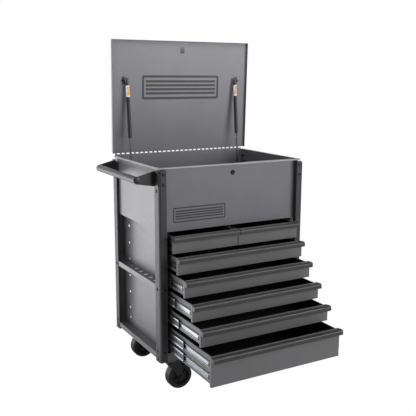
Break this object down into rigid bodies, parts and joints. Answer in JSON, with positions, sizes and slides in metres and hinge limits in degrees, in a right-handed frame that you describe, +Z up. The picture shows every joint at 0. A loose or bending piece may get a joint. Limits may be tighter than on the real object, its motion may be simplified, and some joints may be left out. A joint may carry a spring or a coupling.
{
  "type": "rolling tool chest",
  "caption": "Steel tool chest on casters: slide-out drawers under a lidded top box held open by gas struts, side push handle and side shelves.",
  "frame": {"origin": "on the floor, under the middle of the cabinet", "axes": "+Z up, -Y out of the drawers' front, +X to the right seen from the front"},
  "size_m": [0.9075, 0.979, 1.6807],
  "materials": {
    "panel_paint": "fine satin powder coat, mid grey",
    "post_paint": "satin powder coat, charcoal",
    "grip_paint": "satin powder coat, dark grey",
    "drawer_paint": "fine satin powder coat, mid grey",
    "pull_paint": "satin coat, dark grey",
    "black_metal": "semi-gloss black",
    "zinc": "bright zinc plate",
    "chrome": "polished",
    "tyre": "black rubber, moulded"
  },
  "bodies": {
    "cabinet": {"post_front_left": "post_paint", "post_front_right": "post_paint", "post_rear_left": "post_paint", "post_rear_right": "post_paint", "side_wall_left": "panel_paint", "side_wall_right": "panel_paint", "box_side_left": "panel_paint", "box_side_right": "panel_paint", "front_panel": "panel_paint", "box_floor": "panel_paint", "back_panel": "panel_paint", "base_pan": "panel_paint", "mid_shelf_left": "panel_paint", "mid_shelf_right": "panel_paint", "drawer_divider": "panel_paint", "handle_bar": "grip_paint", "handle_brackets": "black_metal", "lock_housing": "chrome", "hinge_leaf_cabinet": "zinc", "strut_brackets": "black_metal", "slide_rails": "zinc", "slide_screws": "zinc", "frame_bolts": "black_metal", "caster_plates": "zinc", "rigid_caster_rigs": "black_metal"},
    "lid": {"lid_panel": "panel_paint", "hinge_leaf_lid": "zinc", "lid_striker": "zinc", "strut_studs": "black_metal"},
    "lock": {"lock_core": "chrome"},
    "strut_rod_left": {"strut_rod_left": "chrome"},
    "strut_tube_left": {"strut_tube_left": "black_metal"},
    "drawer_1_left": {"drawer_1_left": "drawer_paint", "handle_1_left": "pull_paint"},
    "strut_rod_right": {"strut_rod_right": "chrome"},
    "strut_tube_right": {"strut_tube_right": "black_metal"},
    "drawer_1_right": {"drawer_1_right": "drawer_paint", "handle_1_right": "pull_paint"},
    "drawer_2": {"drawer_2": "drawer_paint", "handle_2": "pull_paint"},
    "slide_mid_2": {"slide_mid_2": "zinc"},
    "drawer_3": {"drawer_3": "drawer_paint", "handle_3": "pull_paint"},
    "slide_mid_3": {"slide_mid_3": "zinc"},
    "drawer_4": {"drawer_4": "drawer_paint", "handle_4": "pull_paint"},
    "slide_mid_4": {"slide_mid_4": "zinc"},
    "drawer_5": {"drawer_5": "drawer_paint", "handle_5": "pull_paint"},
    "slide_mid_5": {"slide_mid_5": "zinc"},
    "drawer_6": {"drawer_6": "drawer_paint", "handle_6": "pull_paint"},
    "slide_mid_6": {"slide_mid_6": "zinc"},
    "caster_fork_front": {"caster_fork_front": "black_metal"},
    "wheel_front_left": {"wheel_front_left": "tyre"},
    "wheel_front_right": {"wheel_front_right": "tyre"},
    "caster_fork_rear": {"caster_fork_rear": "black_metal"},
    "wheel_rear_left": {"wheel_rear_left": "tyre"},
    "wheel_rear_right": {"wheel_rear_right": "tyre"}
  },
  "joints": [
    {"name": "lid_hinge", "type": "hinge", "parent": "cabinet", "child": "lid", "pos_m": [0, 0.284, 1.098], "axis": [1, 0, 0], "range_deg": [0, 88]},
    {"name": "strut_pivot_left", "type": "hinge", "parent": "cabinet", "child": "strut_rod_left", "pos_m": [-0.32, 0.215, 1.032], "axis": [1, 0, 0], "range_deg": [0, 89]},
    {"name": "strut_stroke_left", "type": "slide", "parent": "strut_rod_left", "child": "strut_tube_left", "axis": [0, 0.0938, 0.9956], "range_m": [-0.139, 0]},
    {"name": "strut_pivot_right", "type": "hinge", "parent": "cabinet", "child": "strut_rod_right", "pos_m": [0.32, 0.215, 1.032], "axis": [1, 0, 0], "range_deg": [0, 89]},
    {"name": "strut_stroke_right", "type": "slide", "parent": "strut_rod_right", "child": "strut_tube_right", "axis": [0, 0.0938, 0.9956], "range_m": [-0.139, 0]},
    {"name": "lock_turn", "type": "hinge", "parent": "cabinet", "child": "lock", "pos_m": [0, -0.247, 1.053], "axis": [0, 1, 0], "range_deg": [0, 90]},
    {"name": "drawer_1_left_slide", "type": "slide", "parent": "cabinet", "child": "drawer_1_left", "axis": [0, -1, 0], "range_m": [-0.0567, 0.273]},
    {"name": "drawer_1_right_slide", "type": "slide", "parent": "cabinet", "child": "drawer_1_right", "axis": [0, -1, 0], "range_m": [-0.0567, 0.273]},
    {"name": "drawer_2_slide", "type": "slide", "parent": "cabinet", "child": "drawer_2", "axis": [0, -1, 0], "range_m": [-0.1017, 0.338]},
    {"name": "slide_mid_2_travel", "type": "slide", "parent": "cabinet", "child": "slide_mid_2", "axis": [0, -1, 0], "range_m": [-0.0515, 0.1695]},
    {"name": "drawer_3_slide", "type": "slide", "parent": "cabinet", "child": "drawer_3", "axis": [0, -1, 0], "range_m": [-0.1697, 0.27]},
    {"name": "slide_mid_3_travel", "type": "slide", "parent": "cabinet", "child": "slide_mid_3", "axis": [0, -1, 0], "range_m": [-0.0855, 0.1355]},
    {"name": "drawer_4_slide", "type": "slide", "parent": "cabinet", "child": "drawer_4", "axis": [0, -1, 0], "range_m": [-0.2427, 0.197]},
    {"name": "slide_mid_4_travel", "type": "slide", "parent": "cabinet", "child": "slide_mid_4", "axis": [0, -1, 0], "range_m": [-0.122, 0.099]},
    {"name": "drawer_5_slide", "type": "slide", "parent": "cabinet", "child": "drawer_5", "axis": [0, -1, 0], "range_m": [-0.3197, 0.12]},
    {"name": "slide_mid_5_travel", "type": "slide", "parent": "cabinet", "child": "slide_mid_5", "axis": [0, -1, 0], "range_m": [-0.1605, 0.0605]},
    {"name": "drawer_6_slide", "type": "slide", "parent": "cabinet", "child": "drawer_6", "axis": [0, -1, 0], "range_m": [-0.4117, 0.028]},
    {"name": "slide_mid_6_travel", "type": "slide", "parent": "cabinet", "child": "slide_mid_6", "axis": [0, -1, 0], "range_m": [-0.2065, 0.0145]},
    {"name": "swivel_front_left", "type": "hinge", "parent": "cabinet", "child": "caster_fork_front", "pos_m": [-0.31, -0.214, 0.148], "axis": [0, 0, 1], "continuous": true},
    {"name": "roll_front_left", "type": "hinge", "parent": "caster_fork_front", "child": "wheel_front_left", "pos_m": [-0.274, -0.214, 0.0635], "axis": [0, 1, 0], "continuous": true},
    {"name": "roll_front_right", "type": "hinge", "parent": "cabinet", "child": "wheel_front_right", "pos_m": [0.31, -0.214, 0.0635], "axis": [0, 1, 0], "continuous": true},
    {"name": "swivel_rear_left", "type": "hinge", "parent": "cabinet", "child": "caster_fork_rear", "pos_m": [-0.31, 0.214, 0.148], "axis": [0, 0, 1], "continuous": true},
    {"name": "roll_rear_left", "type": "hinge", "parent": "caster_fork_rear", "child": "wheel_rear_left", "pos_m": [-0.274, 0.214, 0.0635], "axis": [0, 1, 0], "continuous": true},
    {"name": "roll_rear_right", "type": "hinge", "parent": "cabinet", "child": "wheel_rear_right", "pos_m": [0.31, 0.214, 0.0635], "axis": [0, 1, 0], "continuous": true}
  ],
  "couplings": [
    {"joint": "strut_pivot_left", "follows": "lid_hinge", "ratio": 0.976},
    {"joint": "strut_stroke_left", "follows": "lid_hinge", "m_per_rad": -0.0859},
    {"joint": "strut_pivot_right", "follows": "lid_hinge", "ratio": 0.976},
    {"joint": "strut_stroke_right", "follows": "lid_hinge", "m_per_rad": -0.0859},
    {"joint": "slide_mid_2_travel", "follows": "drawer_2_slide", "ratio": 0.5},
    {"joint": "slide_mid_3_travel", "follows": "drawer_3_slide", "ratio": 0.5},
    {"joint": "slide_mid_4_travel", "follows": "drawer_4_slide", "ratio": 0.5},
    {"joint": "slide_mid_5_travel", "follows": "drawer_5_slide", "ratio": 0.5},
    {"joint": "slide_mid_6_travel", "follows": "drawer_6_slide", "ratio": 0.5}
  ]
}
